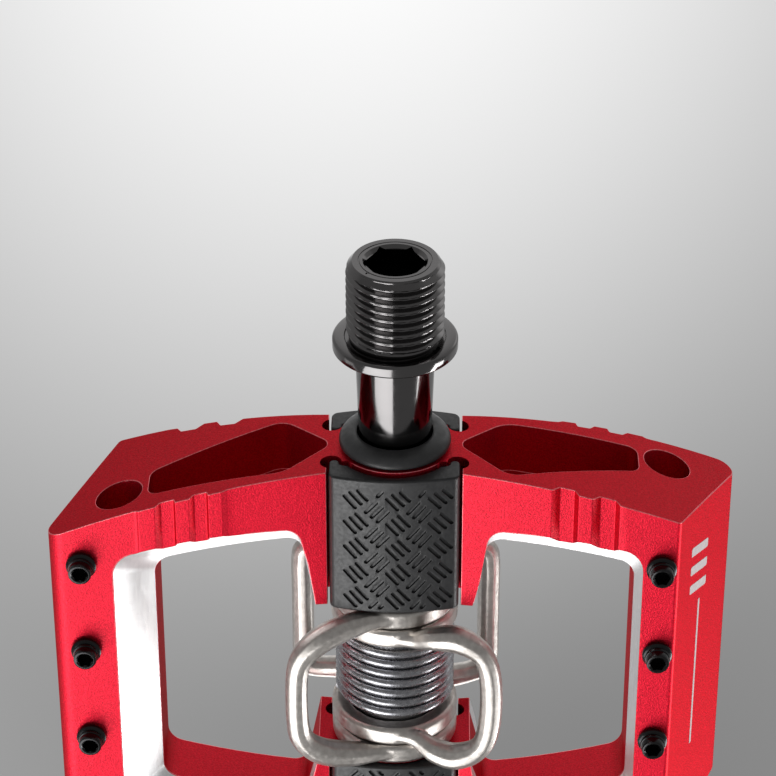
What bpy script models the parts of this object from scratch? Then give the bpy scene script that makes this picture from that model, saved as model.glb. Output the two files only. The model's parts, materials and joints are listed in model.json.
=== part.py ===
"""Platform clip pedal, left side, for a bicycle.

Frame: origin on the spindle axis at the flange face that meets the crank. +X forward, +Y outward along the
spindle, away from the crank, +Z up and square to the platform. Lengths below are in millimetres, and become
metres where a mesh is made. The pedal body repeats when it turns half a turn about the spindle, and its
outboard half mirrors its inboard half about the middle plane.
"""

import math

import bmesh
import bpy
from mathutils import Matrix, Vector

MM = 0.001
AROUND = 32  # sides of a large round piece
AROUND_SMALL = 12  # sides of a pin

# Platform
MID_Y = 56.8  # middle plane, along the spindle
END_Y = 18.28  # crank-side end face at the spindle
END_BOW = 0.00404  # the end face moves outboard by this times x squared
HALF_THICK = 6.59  # platform half thickness at the spindle, growing outward
THICK_SLOPE = 0.149
THICK_CURVE = 0.001321
ACUTE_X, OBTUSE_X = 52.2, 41.7  # where a bar's sloping side meets the two faces
ACUTE_R, OBTUSE_R = 2.3, 0.8

# Grip ribs across the end bars, as (x, rise over the platform) from the hub outward
RIBS_ACUTE = (
    *((24.3, 0.1), (25.0, 0.45), (27.0, 0.45), (27.3, -0.4), (29.1, -0.4), (29.8, 0.4)),
    *((31.8, 0.4), (32.1, -0.45), (34.0, -0.45), (34.8, 0.35), (37.2, 0.35), (37.5, 0.1)),
)
RIBS_OBTUSE = (
    *((22.9, 0.0), (24.1, -1.15), (26.2, -1.15), (26.8, 0.0)),
    *((28.8, 0.0), (30.0, -1.15), (32.2, -1.15), (32.8, -0.1)),
)

# Windows: how far the end bars reach outboard, and where the side bars' inner walls are
END_BAR = 7.3  # at the two faces
END_BAR_DEEP = 13.1  # between the two chamfers
WINDOW_X_WIDE, WINDOW_X_NARROW, WINDOW_X_DEEP = 41.3, 36.6, 35.7
DEEP_Z = 4.6  # the chamfers end this far from the middle
WINDOW_FACE_Z = 10.4  # where the outlines at the two faces are measured
CHAMFER_REACH = 1.3  # carries the chamfer's slope past the face
LEG_TOP_X, LEG_END_X = 14.1, 11.7

# Hub bosses
BOSS_LENGTH = 23.8
HUB_R = 8.45
BORE_R = 7.2
RECESS_X, RECESS_Z = 9.9, 5.0  # the recess that takes a traction pad
NOTCH_X, NOTCH_Z, NOTCH_R = 9.3, 5.0, 1.6

# End face details
POCKET_OUT, POCKET_IN = 36.1, 9.2
POCKET_FLOOR, POCKET_FLOOR_SLOPE = 24.5, 0.18
CORNER_HOLE_X, CORNER_HOLE_Z, CORNER_HOLE_R, CORNER_HOLE_FLOOR = 40.5, 4.7, 3.45, 30.5

# Traction pins
PIN_X_ACUTE, PIN_X_OBTUSE = 45.9, 39.2
PIN_Y = (33.2, 48.7, 64.9, 80.4)
PIN_PROUD, PIN_TIP_R, PIN_COLLAR_R, PIN_COLLAR = 3.0, 1.7, 2.25, 1.2
PIN_SHANK_R, PIN_SHANK, PIN_HOLE_R, PIN_SOCKET, PIN_SOCKET_R = 1.45, 6.4, 1.8, 2.4, 1.25
PIN_LIFT = 0.3

# Traction pads
PAD_START, PAD_END = 18.8, 42.2
PAD_HALF_WIDTH, PAD_EDGE_Z, PAD_TOP_Z, PAD_EDGE_R = 9.55, 8.6, 10.0, 0.9
PAD_RAIL_X, PAD_RAIL_Z, PAD_RAIL_R, PAD_GAP = 8.0, 4.1, 0.75, 0.3

# Spindle
THREAD_R, THREAD_ROOT_R, THREAD_PITCH, THREAD_END = 7.12, 6.4, 1.27, -12.4
THREAD_TURNS = 8
FLANGE_R, FLANGE = 9.1, 2.0
RELIEF_R = 7.4  # inside this radius the crank-side face lies back, clear of the thread's crests
NECK_R, NECK_SEAL_R = 5.8, 5.35
JOURNAL_R, WAIST_R, BEARING_SEAT_R, STUD_R = 5.0, 4.2, 3.3, 2.7
HEX_FLATS, HEX_DEEP, SOCKET_MOUTH_R = 8.0, 8.5, 4.68

# Hub and bearings along the spindle
SLEEVE_Y, SLEEVE_R, SLEEVE_BORE = (21.6, 82.6), 6.95, 6.05
BUSHING_Y, BUSHING_R, BUSHING_BORE = (22.0, 41.0), 5.8, 5.25
INNER_SEAL_Y = 43.4
BEARING_Y = (83.2, 88.2)
NUT_Y = (89.0, 92.0)

# Clip wings
WING_RING_R, WING_RING_BORE, WING_WIRE_R = 9.6, 7.2, 1.75
WING_A_RING_Y, WING_B_RING_Y = (42.6, 45.8), (46.1, 49.2)
BAR_X, BAR_Z = 14.5, 12.0

SPRING_Y, SPRING_R, SPRING_WIRE_R, SPRING_TURNS = (50.4, 63.2), 8.35, 0.75, 7

FINISHES = {
    "red_anodised": ((0.55, 0.008, 0.02), 0.42, 0.85),
    "black_plastic": ((0.012, 0.012, 0.013), 0.45, 0.0),
    "black_rubber": ((0.018, 0.018, 0.018), 0.75, 0.0),
    "black_chrome": ((0.03, 0.03, 0.032), 0.2, 1.0),
    "black_oxide": ((0.02, 0.02, 0.022), 0.4, 0.8),
    "cast_stainless": ((0.5, 0.46, 0.42), 0.38, 1.0),
    "bearing_steel": ((0.62, 0.62, 0.64), 0.22, 1.0),
    "spring_steel": ((0.4, 0.4, 0.42), 0.35, 1.0),
    "bronze": ((0.45, 0.27, 0.1), 0.4, 1.0),
}


def clear_scene():
    for ob in list(bpy.data.objects):
        bpy.data.objects.remove(ob, do_unlink=True)


def new_collection(name):
    made = bpy.data.collections.new(name)
    bpy.context.scene.collection.children.link(made)
    return made


clear_scene()
PARTS = new_collection("clip_pedal")
CUTTERS = new_collection("clip_pedal_cutters")


def end_face_y(x):
    return END_Y + END_BOW * x * x


def half_thick(x):
    x = abs(x)
    return HALF_THICK + THICK_SLOPE * x - THICK_CURVE * x * x


def finish_material(name):
    made = bpy.data.materials.get(name)
    if made:
        return made
    colour, roughness, metallic = FINISHES[name]
    made = bpy.data.materials.new(name)
    made.use_nodes = True
    shader = made.node_tree.nodes["Principled BSDF"]
    shader.inputs["Base Color"].default_value = (*colour, 1.0)
    shader.inputs["Roughness"].default_value = roughness
    shader.inputs["Metallic"].default_value = metallic
    return made


def as_part(ob, name, finish):
    """Names a finished object, gives it its material and moves it to the parts' collection."""
    ob.name = name
    ob.data.name = name
    ob.data.materials.clear()
    ob.data.materials.append(finish_material(finish))
    ob.data.shade_smooth()
    ob.data.set_sharp_from_angle(angle=math.radians(35))
    for home in list(ob.users_collection):
        home.objects.unlink(ob)
    PARTS.objects.link(ob)
    return ob


def as_cutter(ob, name):
    ob.name = name
    ob.hide_render = True
    ob.display_type = "WIRE"
    return ob


def add_mesh(name, mesh, matrix=None):
    ob = bpy.data.objects.new(name, mesh)
    ob.matrix_world = matrix or Matrix.Identity(4)
    CUTTERS.objects.link(ob)
    return ob


def baked(ob):
    """Replaces an object by a plain mesh of what it evaluates to, welded, in world space."""
    bpy.context.view_layer.update()
    shown = ob.evaluated_get(bpy.context.evaluated_depsgraph_get())
    mesh = bpy.data.meshes.new_from_object(shown)
    mesh.transform(ob.matrix_world)
    soup = bmesh.new()
    soup.from_mesh(mesh)
    bmesh.ops.remove_doubles(soup, verts=soup.verts, dist=1e-6)
    soup.to_mesh(mesh)
    soup.free()
    name = ob.name
    bpy.data.objects.remove(ob, do_unlink=True)
    return add_mesh(name, mesh)


def boolean(ob, tool, operation):
    step = ob.modifiers.new(tool.name, "BOOLEAN")
    step.object = tool
    step.operation = operation
    step.solver = "EXACT"
    as_cutter(tool, tool.name)
    return ob


def cut(ob, *tools):
    for tool in tools:
        boolean(ob, tool, "DIFFERENCE")
    return ob


def joined(name, pieces):
    """One object from pieces that don't touch each other."""
    soup = bmesh.new()
    for piece in pieces:
        soup.from_mesh(piece.data)
        bpy.data.objects.remove(piece, do_unlink=True)
    mesh = bpy.data.meshes.new(name)
    soup.to_mesh(mesh)
    soup.free()
    return add_mesh(name, mesh)


def turned(name, profile, sides=AROUND, closed=False):
    """A turned solid about the spindle. Its profile is (y, radius) from the outboard end to the crank side."""
    mesh = bpy.data.meshes.new(name)
    points = [(r * MM, 0.0, y * MM) for y, r in profile]
    edges = [(i, i + 1) for i in range(len(points) - 1)]
    if closed:
        edges.append((len(points) - 1, 0))
    mesh.from_pydata(points, edges, [])
    ob = add_mesh(name, mesh, Matrix.Rotation(math.radians(-90), 4, "X"))
    spin = ob.modifiers.new("turn", "SCREW")
    spin.axis = "Z"
    spin.angle = math.tau
    spin.steps = sides
    spin.render_steps = sides
    spin.use_merge_vertices = True
    spin.merge_threshold = 0.000001
    return baked(ob)


def ring(name, ends, outer, inner, edge=0.0, sides=AROUND):
    """A turned ring between two y values, with small chamfers."""
    low, high = ends
    profile = [(high, inner), (high, outer - edge)]
    if edge:
        profile.append((high - edge, outer))
        profile.append((low + edge, outer))
        profile.append((low, outer - edge))
    else:
        profile.append((high, outer))
        profile.append((low, outer))
    profile.append((low, inner))
    return turned(name, profile, sides, closed=True)


def rounded(corners, steps=4):
    """An outline from (x, y, radius) corners, each turned into an arc where its radius isn't 0."""
    out = []
    count = len(corners)
    for i, (x, y, radius) in enumerate(corners):
        here = Vector((x, y))
        before = Vector(corners[i - 1][:2]) - here
        after = Vector(corners[(i + 1) % count][:2]) - here
        if not radius:
            out.append((x, y))
            continue
        half = before.angle(after) / 2
        reach = radius / math.tan(half)
        middle = here + (before.normalized() + after.normalized()).normalized() * radius / math.sin(half)
        first = here + before.normalized() * reach - middle
        last = here + after.normalized() * reach - middle
        turn = first.angle_signed(last)
        for k in range(steps + 1):
            spoke = first.copy()
            spoke.rotate(Matrix.Rotation(-turn * k / steps, 2))
            out.append(tuple(middle + spoke))
    return out


def prism(name, outline, length, matrix):
    """A flat outline extruded to both sides of its plane, by half its length each way."""
    curve = bpy.data.curves.new(name, "CURVE")
    curve.dimensions = "2D"
    curve.fill_mode = "BOTH"
    curve.extrude = length * MM / 2
    line = curve.splines.new("POLY")
    line.points.add(len(outline) - 1)
    for point, (x, y) in zip(line.points, outline, strict=True):
        point.co = (x * MM, y * MM, 0.0, 1.0)
    line.use_cyclic_u = True
    ob = bpy.data.objects.new(name, curve)
    ob.matrix_world = matrix
    CUTTERS.objects.link(ob)
    return baked(ob)


def along_y(name, outline, y_low, y_high):
    """A prism whose (x, z) outline runs from y_low to y_high."""
    place = Matrix.Translation((0.0, (y_low + y_high) / 2 * MM, 0.0))
    return prism(name, outline, y_high - y_low, place @ Matrix.Rotation(math.radians(90), 4, "X"))


def rod(name, centre, radius, y_low, y_high, sides=24):
    """A cylinder parallel to the spindle, centred on (x, z)."""
    soup = bmesh.new()
    place = Matrix.Translation((centre[0] * MM, (y_low + y_high) / 2 * MM, centre[1] * MM))
    bmesh.ops.create_cone(
        soup,
        cap_ends=True,
        segments=sides,
        radius1=radius * MM,
        radius2=radius * MM,
        depth=(y_high - y_low) * MM,
        matrix=place @ Matrix.Rotation(math.radians(90), 4, "X"),
    )
    mesh = bpy.data.meshes.new(name)
    soup.to_mesh(mesh)
    soup.free()
    return add_mesh(name, mesh)


def box(name, low, high):
    soup = bmesh.new()
    size = [(b - a) * MM for a, b in zip(low, high, strict=True)]
    middle = [(a + b) / 2 * MM for a, b in zip(low, high, strict=True)]
    place = Matrix.Translation(middle) @ Matrix.Diagonal((*size, 1.0))
    bmesh.ops.create_cube(soup, size=1.0, matrix=place)
    mesh = bpy.data.meshes.new(name)
    soup.to_mesh(mesh)
    soup.free()
    return add_mesh(name, mesh)


def lofted(name, sections):
    """A closed solid through sections of (x, y, z) points, all with the same number of points."""
    soup = bmesh.new()
    rows = [[soup.verts.new([c * MM for c in point]) for point in section] for section in sections]
    count = len(rows[0])
    for low, high in zip(rows, rows[1:], strict=False):
        for i in range(count):
            j = (i + 1) % count
            soup.faces.new((low[i], low[j], high[j], high[i]))
    soup.faces.new(rows[0])
    soup.faces.new(rows[-1])
    bmesh.ops.recalc_face_normals(soup, faces=soup.faces)
    mesh = bpy.data.meshes.new(name)
    soup.to_mesh(mesh)
    soup.free()
    return add_mesh(name, mesh)


def half_turned(ob):
    """A copy turned half a turn about the spindle."""
    mesh = ob.data.copy()
    mesh.transform(Matrix.Rotation(math.pi, 4, "Y"))
    return add_mesh(ob.name + "_turned", mesh)


def mirrored(ob):
    """A copy mirrored about the middle plane."""
    mesh = ob.data.copy()
    place = Matrix.Translation((0.0, MID_Y * MM, 0.0))
    mesh.transform(place @ Matrix.Scale(-1.0, 4, (0.0, 1.0, 0.0)) @ place.inverted())
    mesh.flip_normals()
    return add_mesh(ob.name + "_outboard", mesh)


def four_ways(name, ob):
    """The shape itself, its half turn, and the mirror of both, as one object."""
    turned_copy = half_turned(ob)
    return joined(name, [ob, turned_copy, mirrored(ob), mirrored(turned_copy)])


# Pedal body


def body_outline():
    """The (x, z) outline of the body: two concave, ribbed faces and two sloping sides."""
    plain = (-36.0, -20.0, -14.0, -7.0, 0.0, 7.0, 14.0, 20.0, 42.0, 47.0)
    rises = [(x, 0.0) for x in plain] + [(-x, rise) for x, rise in RIBS_OBTUSE] + list(RIBS_ACUTE)
    face = [(x, half_thick(x) + rise, 0) for x, rise in sorted(rises)]
    upper = [(-OBTUSE_X, half_thick(OBTUSE_X), OBTUSE_R), *face, (ACUTE_X, half_thick(ACUTE_X), ACUTE_R)]
    return rounded(upper + [(-x, -z, r) for x, z, r in upper])


def plan_outline():
    """The (x, y) outline of the body, wider than its sides: two bowed ends."""
    steps = 20
    reach = ACUTE_X + 2
    near = [(reach * (2 * k / steps - 1), end_face_y(reach * (2 * k / steps - 1))) for k in range(steps + 1)]
    return near + [(-x, 2 * MID_Y - y) for x, y in near]


def window_outline(far_x, end_bar, far_r, leg_r):
    """A window's (x, y) outline at one depth, from the leg to the side bar and back by the middle plane."""
    bowed = [(x, end_face_y(x) + end_bar, 0) for x in (20.0, 26.0, 31.0)]
    near = [(LEG_END_X, END_Y + BOSS_LENGTH, 0), (LEG_TOP_X, end_face_y(LEG_TOP_X) + end_bar, leg_r), *bowed]
    near.append((far_x, end_face_y(far_x) + end_bar, far_r))
    return rounded(near + [(x, 2 * MID_Y - y, r) for x, y, r in reversed(near)])


def window_cutter(name):
    """The leading window: straight in the middle, opening to both faces by a chamfer."""
    deep = window_outline(WINDOW_X_DEEP, END_BAR_DEEP, 3.0, 2.2)
    wide = window_outline(WINDOW_X_WIDE, END_BAR, 4.0, 2.2)
    narrow = window_outline(WINDOW_X_NARROW, END_BAR, 4.0, 2.2)
    far_z = DEEP_Z + (WINDOW_FACE_Z - DEEP_Z) * CHAMFER_REACH
    outer = []
    for outline, z in ((narrow, -far_z), (wide, far_z)):
        section = []
        for (x, y), (dx, dy) in zip(outline, deep, strict=True):
            section.append((dx + (x - dx) * CHAMFER_REACH, dy + (y - dy) * CHAMFER_REACH, z))
        outer.append(section)
    low = [(x, y, -DEEP_Z) for x, y in deep]
    high = [(x, y, DEEP_Z) for x, y in deep]
    return lofted(name, [outer[0], low, high, outer[1]])


def pocket_cutter(name):
    """The pocket in the leading half of the crank-side end face, with a sloping floor."""
    outline = rounded(
        [
            (POCKET_OUT, 6.8, 1.6),
            (16.2, 6.8, 5.0),
            (POCKET_IN, 0.1, 1.8),
            (16.7, -7.1, 3.0),
            (POCKET_OUT, 0.7, 2.0),
        ]
    )
    mouth = [(x, END_Y - 3.0, z) for x, z in outline]
    floor = [(x, POCKET_FLOOR + POCKET_FLOOR_SLOPE * x, z) for x, z in outline]
    return lofted(name, [mouth, floor])


def pin_places():
    """(name, x, y, up) for the sixteen pins."""
    places = []
    for face, up in (("top", 1.0), ("bottom", -1.0)):
        for edge, x in (("leading", up * PIN_X_ACUTE), ("trailing", -up * PIN_X_OBTUSE)):
            if up < 0:
                edge, x = ("trailing", x) if x < 0 else ("leading", x)
            for k, y in enumerate(PIN_Y):
                places.append((f"pin_{face}_{edge}_{k + 1}", x, y, up))
    return places


def upright(name, x, y, radius, z_low, z_high, sides):
    soup = bmesh.new()
    place = Matrix.Translation((x * MM, y * MM, (z_low + z_high) / 2 * MM))
    depth = (z_high - z_low) * MM
    bmesh.ops.create_cone(
        soup, cap_ends=True, segments=sides, radius1=radius * MM, radius2=radius * MM, depth=depth, matrix=place
    )
    mesh = bpy.data.meshes.new(name)
    soup.to_mesh(mesh)
    soup.free()
    return add_mesh(name, mesh)


def pin_hole_cutter(name):
    holes = []
    for hole, x, y, up in pin_places():
        face = half_thick(x)
        ends = sorted((up * (face - PIN_SHANK - 0.4), up * (face + 2.0)))
        holes.append(upright(hole, x, y, PIN_HOLE_R, *ends, 12))
    return joined(name, holes)


def pedal_body():
    ob = along_y("pedal_body", body_outline(), END_Y - 6.0, 2 * MID_Y - END_Y + 6.0)
    far_y = 2 * MID_Y
    recess = box("pad_recess", (-RECESS_X, -10.0, RECESS_Z), (RECESS_X, far_y + 10.0, 20.0))
    recesses = joined("pad_recesses", [half_turned(recess), recess])
    cut(ob, recesses)
    boolean(ob, rod("hub_boss", (0.0, 0.0), HUB_R, END_Y - 5.0, far_y - END_Y + 5.0, AROUND), "UNION")
    notch_ends = (END_Y - 4.0, far_y - END_Y + 4.0)
    notches = []
    for x in (-NOTCH_X, NOTCH_X):
        for z in (-NOTCH_Z, NOTCH_Z):
            notches.append(rod(f"notch_{len(notches)}", (x, z), NOTCH_R, *notch_ends, 16))
    cut(ob, joined("pad_notches", notches))
    boolean(ob, prism("plan", plan_outline(), 40.0, Matrix.Identity(4)), "INTERSECT")
    window = window_cutter("window")
    cut(ob, joined("windows", [half_turned(window), window]))
    boss_end = END_Y + BOSS_LENGTH
    cut(ob, box("wing_space", (-LEG_END_X - 1.5, boss_end, -20.0), (LEG_END_X + 1.5, far_y - boss_end, 20.0)))
    cut(ob, rod("bore", (0.0, 0.0), BORE_R, 0.0, far_y, AROUND))
    cut(ob, four_ways("pockets", pocket_cutter("pocket")))
    hole_centre = (CORNER_HOLE_X, CORNER_HOLE_Z)
    corner_hole = rod("corner_hole", hole_centre, CORNER_HOLE_R, END_Y, CORNER_HOLE_FLOOR)
    cut(ob, four_ways("corner_holes", corner_hole))
    cut(ob, pin_hole_cutter("pin_holes"))
    return as_part(baked(ob), "pedal_body", "red_anodised")


# Spindle


def thread_profile():
    """Crests and roots of the thread as rings, from the flange to the tip."""
    points = []
    first = THREAD_END + 1.1
    for k in reversed(range(THREAD_TURNS)):
        crest = first + k * THREAD_PITCH
        points.append((crest + THREAD_PITCH / 2, THREAD_ROOT_R))
        points.append((crest, THREAD_R))
    points.append((THREAD_END + 0.4, THREAD_ROOT_R))
    return points


def spindle():
    bearing_low, bearing_high = BEARING_Y
    profile = [
        (NUT_Y[1] + 0.5, 0.0),
        (NUT_Y[1] + 0.5, STUD_R - 0.3),
        (NUT_Y[1] + 0.2, STUD_R),
        (bearing_high + 0.2, STUD_R),
        (bearing_high + 0.2, BEARING_SEAT_R),
        (bearing_low - 0.3, BEARING_SEAT_R),
        (bearing_low - 0.3, WAIST_R),
        (INNER_SEAL_Y + 8.0, WAIST_R),
        (INNER_SEAL_Y + 2.0, JOURNAL_R),
        (END_Y - 1.0, JOURNAL_R),
        (END_Y - 2.0, NECK_SEAL_R),
        (FLANGE + 2.0, NECK_R - 0.05),
        (FLANGE + 0.5, NECK_R + 0.2),
        (FLANGE, NECK_R + 0.8),
        (FLANGE, FLANGE_R - 0.4),
        (FLANGE - 0.4, FLANGE_R),
        (0.35, FLANGE_R),
        (0.0, FLANGE_R - 0.35),
        (0.0, RELIEF_R),
        (0.15, RELIEF_R - 0.15),
        (0.15, THREAD_ROOT_R + 0.2),
        *thread_profile(),
        (THREAD_END, THREAD_ROOT_R - 0.35),
        (THREAD_END, 0.0),
    ]
    ob = turned("spindle", profile)
    across = HEX_FLATS / 2 / math.cos(math.pi / 6)
    socket = rod("hex_socket", (0.0, 0.0), across, THREAD_END - 2.0, THREAD_END + HEX_DEEP, 6)
    mouth = [(THREAD_END + 0.5, 0.0), (THREAD_END + 0.5, across - 0.35), (THREAD_END - 0.2, SOCKET_MOUTH_R + 0.1)]
    mouth += [(THREAD_END - 1.0, SOCKET_MOUTH_R + 0.1), (THREAD_END - 1.0, 0.0)]
    cut(ob, turned("socket_mouth", mouth, 24), socket)
    return as_part(baked(ob), "spindle", "black_chrome")


# Seals, sleeve, bushing and bearing


def lip_seal():
    profile = [
        (21.2, 5.65),
        (21.2, 6.9),
        (18.0, 6.9),
        (18.0, 8.25),
        (17.2, 7.7),
        (16.8, 6.9),
        (16.0, 6.1),
        (16.0, 5.6),
    ]
    return as_part(turned("lip_seal", profile, closed=True), "lip_seal", "black_rubber")


def small_rings():
    """The plain turned rings round the spindle."""
    low, high = BEARING_Y
    rows = [
        ("hub_sleeve", SLEEVE_Y, SLEEVE_R, SLEEVE_BORE, 0.3, "bearing_steel"),
        ("glide_bushing", BUSHING_Y, BUSHING_R, BUSHING_BORE, 0.2, "bronze"),
        ("inner_seal", (INNER_SEAL_Y - 1.9, INNER_SEAL_Y - 0.4), BUSHING_R, BUSHING_BORE, 0.3, "black_rubber"),
        ("bearing_inner_race", (low, high), 4.4, 3.5, 0.2, "bearing_steel"),
        ("bearing_outer_race", (low, high), 6.95, 6.2, 0.2, "bearing_steel"),
        ("bearing_shield_inboard", (low + 0.1, low + 0.4), 5.95, 4.65, 0.0, "black_rubber"),
        ("bearing_shield_outboard", (high - 0.4, high - 0.1), 5.95, 4.65, 0.0, "black_rubber"),
        ("spindle_washer", (high + 0.5, high + 0.9), 4.7, 3.0, 0.0, "bearing_steel"),
    ]
    for name, ends, outer, inner, edge, finish in rows:
        as_part(ring(name, ends, outer, inner, edge), name, finish)


def bearing_balls():
    """Eight balls held by a thin cage, as one solid."""
    middle = sum(BEARING_Y) / 2
    pitch_r, ball_r, count = 5.3, 0.8, 8
    ob = ring("bearing_balls", (middle - 0.45, middle + 0.45), pitch_r + 0.3, pitch_r - 0.3)
    balls = []
    for k in range(count):
        turn = math.tau * (k + 0.5) / count
        soup = bmesh.new()
        spot = Vector((pitch_r * math.cos(turn), middle, pitch_r * math.sin(turn))) * MM
        bmesh.ops.create_icosphere(soup, subdivisions=1, radius=ball_r * MM, matrix=Matrix.Translation(spot))
        mesh = bpy.data.meshes.new(f"ball_{k}")
        soup.to_mesh(mesh)
        soup.free()
        balls.append(add_mesh(f"ball_{k}", mesh))
    boolean(ob, joined("balls", balls), "UNION")
    return as_part(baked(ob), "bearing_balls", "bearing_steel")


def lock_nut():
    low, high = NUT_Y
    ob = rod("lock_nut", (0.0, 0.0), 4.9, low + 0.4, high, 6)
    cut(ob, rod("nut_thread", (0.0, 0.0), STUD_R + 0.3, low - 1.0, high + 1.0, 24))
    return as_part(baked(ob), "lock_nut", "bearing_steel")


def end_cap():
    """A cup screwed in the outboard end, flush with it, with a hexagon in its face and a groove for its ring."""
    face = 2 * MID_Y - END_Y - 0.1
    profile = [
        (face, 0.0),
        (face, 6.5),
        (face - 0.4, 6.9),
        (face - 1.2, 6.9),
        (face - 1.2, 5.9),
        (face - 2.4, 5.9),
        (face - 2.4, 6.9),
        (face - 6.4, 6.9),
        (face - 6.4, 5.5),
        (face - 2.6, 5.5),
        (face - 2.6, 0.0),
    ]
    ob = turned("end_cap", profile)
    cut(ob, rod("cap_hexagon", (0.0, 0.0), 3.45, face - 1.6, face + 1.0, 6))
    as_part(baked(ob), "end_cap", "black_oxide")
    low, high = face - 2.2, face - 1.4
    oring = [(high, 6.5), (high - 0.15, 6.85), (low + 0.15, 6.85), (low, 6.5), (low + 0.15, 6.15), (high - 0.15, 6.15)]
    as_part(turned("end_cap_oring", oring, closed=True), "end_cap_oring", "black_rubber")


# Traction pads


def pad_outline():
    """The (x, z) outline of a top pad: a crowned face, a rail down each side, and a round underside."""
    under_r = HUB_R + PAD_GAP
    crown = []
    steps = 6
    for k in range(steps + 1):
        x = (PAD_HALF_WIDTH - PAD_EDGE_R) * (2 * k / steps - 1)
        rise = 1 - (x / PAD_HALF_WIDTH) ** 2
        crown.append((x, PAD_EDGE_Z + (PAD_TOP_Z - PAD_EDGE_Z) * rise, 0))
    left = [
        (-PAD_RAIL_X, NOTCH_Z + 0.35, 0),
        (-PAD_RAIL_X, PAD_RAIL_Z, PAD_RAIL_R),
        (-PAD_HALF_WIDTH, PAD_RAIL_Z, PAD_RAIL_R),
        (-PAD_HALF_WIDTH, PAD_EDGE_Z + 0.1, PAD_EDGE_R),
    ]
    right = [(-x, z, r) for x, z, r in reversed(left)]
    under = []
    for k in range(9):
        turn = math.radians(40 + 12.5 * k)
        under.append((under_r * math.cos(turn), under_r * math.sin(turn), 0))
    return rounded([*left, *crown, *right, *under], 3)


def traction_pads():
    """Two pads on each boss. Their crank-side and outboard edges follow the body's bowed ends."""
    outline = pad_outline()
    inboard = along_y("pad_top_inboard", outline, PAD_START, PAD_END)
    pads = {"pad_top_inboard": inboard, "pad_bottom_inboard": half_turned(inboard)}
    pads["pad_top_outboard"] = mirrored(inboard)
    pads["pad_bottom_outboard"] = mirrored(pads["pad_bottom_inboard"])
    for name, ob in pads.items():
        as_part(ob, name, "black_plastic")


# Traction pins


def traction_pins():
    """Grub screws with a collar that seats on the platform and a socket in the tip."""
    for name, x, y, up in pin_places():
        profile = [
            (PIN_PROUD, 0.0),
            (PIN_PROUD, PIN_TIP_R),
            (PIN_COLLAR, PIN_TIP_R),
            (PIN_COLLAR, PIN_COLLAR_R),
            (PIN_LIFT, PIN_COLLAR_R),
            (PIN_LIFT, PIN_SHANK_R),
            (-PIN_SHANK, PIN_SHANK_R),
            (-PIN_SHANK, 0.0),
        ]
        ob = turned(name, profile, AROUND_SMALL)
        cut(ob, rod(name + "_socket", (0.0, 0.0), PIN_SOCKET_R, PIN_PROUD - PIN_SOCKET, PIN_PROUD + 1.0, 6))
        ob = baked(ob)
        stand = Matrix.Rotation(math.radians(90.0 * up), 4, "X")
        ob.data.transform(Matrix.Translation((x * MM, y * MM, up * half_thick(x) * MM)) @ stand)
        as_part(ob, name, "black_oxide")


# Clip wings and their spring


def smooth_path(points, steps=2):
    """Points of a smooth curve through (x, y, z, thickness) points."""
    out = []
    last = len(points) - 1
    for i in range(last):
        p0, p1, p2, p3 = (Vector(points[max(0, min(last, i + d))]) for d in (-1, 0, 1, 2))
        for k in range(steps):
            t = k / steps
            bend = 2 * p0 - 5 * p1 + 4 * p2 - p3
            twist = 3 * p1 - p0 - 3 * p2 + p3
            out.append((2 * p1 + (p2 - p0) * t + bend * t * t + twist * t**3) / 2)
    out.append(Vector(points[-1]))
    return out


def wire(name, points, radius):
    curve = bpy.data.curves.new(name, "CURVE")
    curve.dimensions = "3D"
    curve.bevel_depth = radius * MM
    curve.bevel_resolution = 2
    curve.use_fill_caps = True
    line = curve.splines.new("POLY")
    line.points.add(len(points) - 1)
    for point, (x, y, z, thick) in zip(line.points, points, strict=True):
        point.co = (x * MM, y * MM, z * MM, 1.0)
        point.radius = thick
    ob = bpy.data.objects.new(name, curve)
    CUTTERS.objects.link(ob)
    return baked(ob)


def bow_path(arm, side, up):
    """A bow's points: out along the arm, along the bar, and back by the mirror of the arm."""
    arm = [*arm, (BAR_X, 53.0, BAR_Z, 1.0)]
    there = [(side * x, y, up * z, thick) for x, y, z, thick in arm]
    back = [(x, 2 * MID_Y - y, z, thick) for x, y, z, thick in reversed(there)]
    return smooth_path([*there, *back])


def wing(name, ring_y, top_arm, bottom_arm, side):
    """Two rings on the sleeve, joined by a bow above on one side and a bow below on the other."""
    low, high = ring_y
    ob = wire(name, bow_path(top_arm, side, 1.0), WING_WIRE_R)
    boolean(ob, wire(name + "_lower_bow", bow_path(bottom_arm, -side, -1.0), WING_WIRE_R), "UNION")
    near = ring(name + "_near_ring", (low, high), WING_RING_R, WING_RING_BORE, 0.5)
    far = ring(name + "_far_ring", (2 * MID_Y - high, 2 * MID_Y - low), WING_RING_R, WING_RING_BORE, 0.5)
    boolean(ob, joined(name + "_rings", [near, far]), "UNION")
    return as_part(baked(ob), name, "cast_stainless")


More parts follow.
